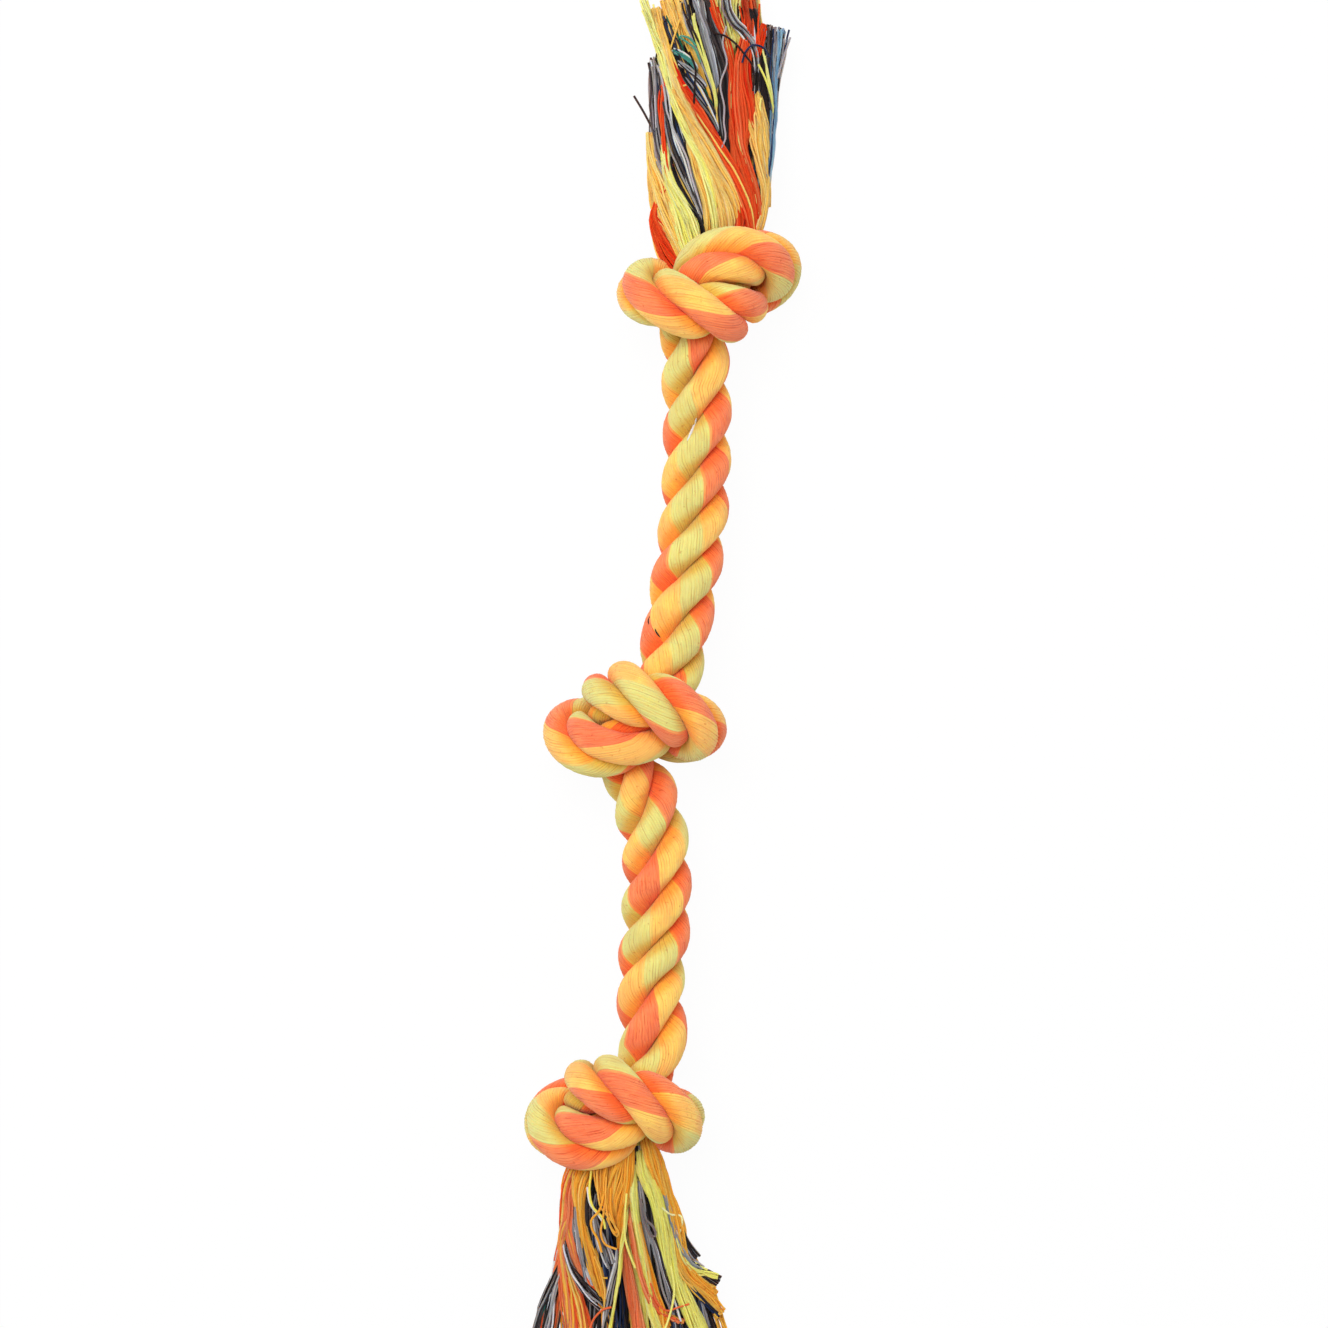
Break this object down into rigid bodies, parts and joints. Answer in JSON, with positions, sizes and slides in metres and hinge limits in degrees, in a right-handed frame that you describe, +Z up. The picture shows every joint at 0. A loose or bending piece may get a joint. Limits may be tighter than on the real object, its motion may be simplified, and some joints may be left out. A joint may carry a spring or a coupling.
{
  "type": "rope dog toy",
  "caption": "Rope tug toy for a dog: soft three-strand cotton rope with tight overhand knots and a frayed tassel at each end.",
  "frame": {"origin": "on the surface that the toy lies on, under the middle of the box round the toy", "axes": "+Y along the toy from the bottom tassel to the top tassel, +X to the right, +Z up from the surface"},
  "size_m": [0.1016, 0.519, 0.0595],
  "materials": {
    "yellow_yarn": "matt spun cotton yarn, lemon yellow",
    "orange_yarn": "matt spun cotton yarn, light orange",
    "coral_yarn": "matt spun cotton yarn, coral",
    "core_yarn": "matt waste yarn, mostly black and grey"
  },
  "bodies": {
    "middle_knot": {"middle_knot_strand_a": "yellow_yarn", "middle_knot_strand_b": "orange_yarn", "middle_knot_strand_c": "coral_yarn"},
    "upper_rope": {"upper_rope_strand_a": "yellow_yarn", "upper_rope_core_a": "core_yarn", "upper_rope_strand_b": "orange_yarn", "upper_rope_core_b": "core_yarn", "upper_rope_strand_c": "coral_yarn", "upper_rope_core_c": "core_yarn"},
    "top_knot": {"top_knot_strand_a": "yellow_yarn", "top_knot_strand_b": "orange_yarn", "top_knot_strand_c": "coral_yarn"},
    "top_tassel": {"top_tassel_a_yellow_yarns": "yellow_yarn", "top_tassel_a_orange_yarns": "orange_yarn", "top_tassel_a_coral_yarns": "coral_yarn", "top_tassel_a_core_yarns": "core_yarn", "top_tassel_b_yellow_yarns": "yellow_yarn", "top_tassel_b_orange_yarns": "orange_yarn", "top_tassel_b_coral_yarns": "coral_yarn", "top_tassel_b_core_yarns": "core_yarn", "top_tassel_c_yellow_yarns": "yellow_yarn", "top_tassel_c_orange_yarns": "orange_yarn", "top_tassel_c_coral_yarns": "coral_yarn", "top_tassel_c_core_yarns": "core_yarn"},
    "lower_rope": {"lower_rope_strand_a": "yellow_yarn", "lower_rope_core_a": "core_yarn", "lower_rope_strand_b": "orange_yarn", "lower_rope_core_b": "core_yarn", "lower_rope_strand_c": "coral_yarn", "lower_rope_core_c": "core_yarn"},
    "bottom_knot": {"bottom_knot_strand_a": "yellow_yarn", "bottom_knot_strand_b": "orange_yarn", "bottom_knot_strand_c": "coral_yarn"},
    "bottom_tassel": {"bottom_tassel_a_yellow_yarns": "yellow_yarn", "bottom_tassel_a_orange_yarns": "orange_yarn", "bottom_tassel_a_coral_yarns": "coral_yarn", "bottom_tassel_a_core_yarns": "core_yarn", "bottom_tassel_b_yellow_yarns": "yellow_yarn", "bottom_tassel_b_orange_yarns": "orange_yarn", "bottom_tassel_b_coral_yarns": "coral_yarn", "bottom_tassel_b_core_yarns": "core_yarn", "bottom_tassel_c_yellow_yarns": "yellow_yarn", "bottom_tassel_c_orange_yarns": "orange_yarn", "bottom_tassel_c_coral_yarns": "coral_yarn", "bottom_tassel_c_core_yarns": "core_yarn"}
  },
  "joints": [
    {"name": "upper_rope_sway", "type": "hinge", "parent": "middle_knot", "child": "upper_rope", "pos_m": [0.00675, 0.0385, 0.02647], "axis": [0, 0, 1], "range_deg": [-45, 45]},
    {"name": "top_knot_lift", "type": "hinge", "parent": "upper_rope", "child": "top_knot", "pos_m": [0.01275, 0.0995, 0.02512], "axis": [1, 0, 0], "range_deg": [-45, 45]},
    {"name": "top_tassel_sway", "type": "hinge", "parent": "top_knot", "child": "top_tassel", "pos_m": [0.01475, 0.1755, 0.02512], "axis": [0, 0, 1], "range_deg": [-25, 25]},
    {"name": "lower_rope_sway", "type": "hinge", "parent": "middle_knot", "child": "lower_rope", "pos_m": [-0.00275, -0.0535, 0.02647], "axis": [0, 0, 1], "range_deg": [-45, 45]},
    {"name": "bottom_knot_lift", "type": "hinge", "parent": "lower_rope", "child": "bottom_knot", "pos_m": [-0.00425, -0.1015, 0.02647], "axis": [1, 0, 0], "range_deg": [-45, 45]},
    {"name": "bottom_tassel_sway", "type": "hinge", "parent": "bottom_knot", "child": "bottom_tassel", "pos_m": [-0.01025, -0.1755, 0.02647], "axis": [0, 0, 1], "range_deg": [-25, 25]}
  ]
}
